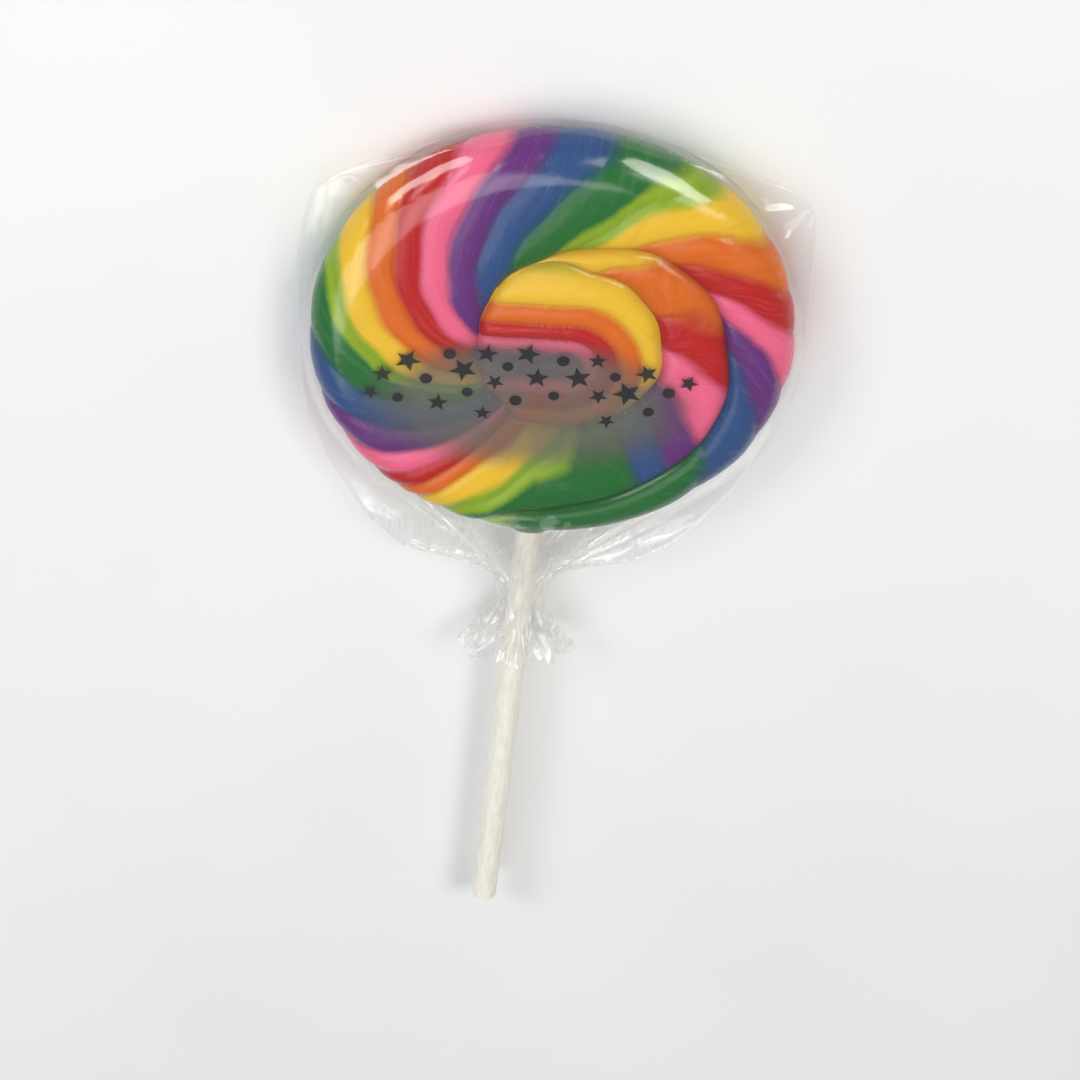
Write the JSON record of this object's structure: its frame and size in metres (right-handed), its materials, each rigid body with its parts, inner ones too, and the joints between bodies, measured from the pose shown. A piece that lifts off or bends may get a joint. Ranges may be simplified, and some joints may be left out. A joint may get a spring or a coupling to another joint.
{
  "type": "swirl lollipop",
  "caption": "Flat round boiled-sugar lollipop of a coiled, striped rope on a straight paper stick, in clear film gathered to a neck below the disc.",
  "frame": {"origin": "centre of the sweet's flat back, which is the face that the lollipop lies on", "axes": "+Z out of the shown face of the sweet, +Y from the stick towards the top of the sweet, stick along -Y"},
  "size_m": [0.0744, 0.1509, 0.0104],
  "materials": {
    "candy": "glossy boiled sugar in yellow, orange, red, pink, violet, blue and green stripes",
    "stick": "off-white rolled paper, matt",
    "film": "clear crinkled film, high gloss"
  },
  "bodies": {
    "root": {"candy": "candy", "stick": "stick", "wrapper": "film"}
  },
  "joints": []
}
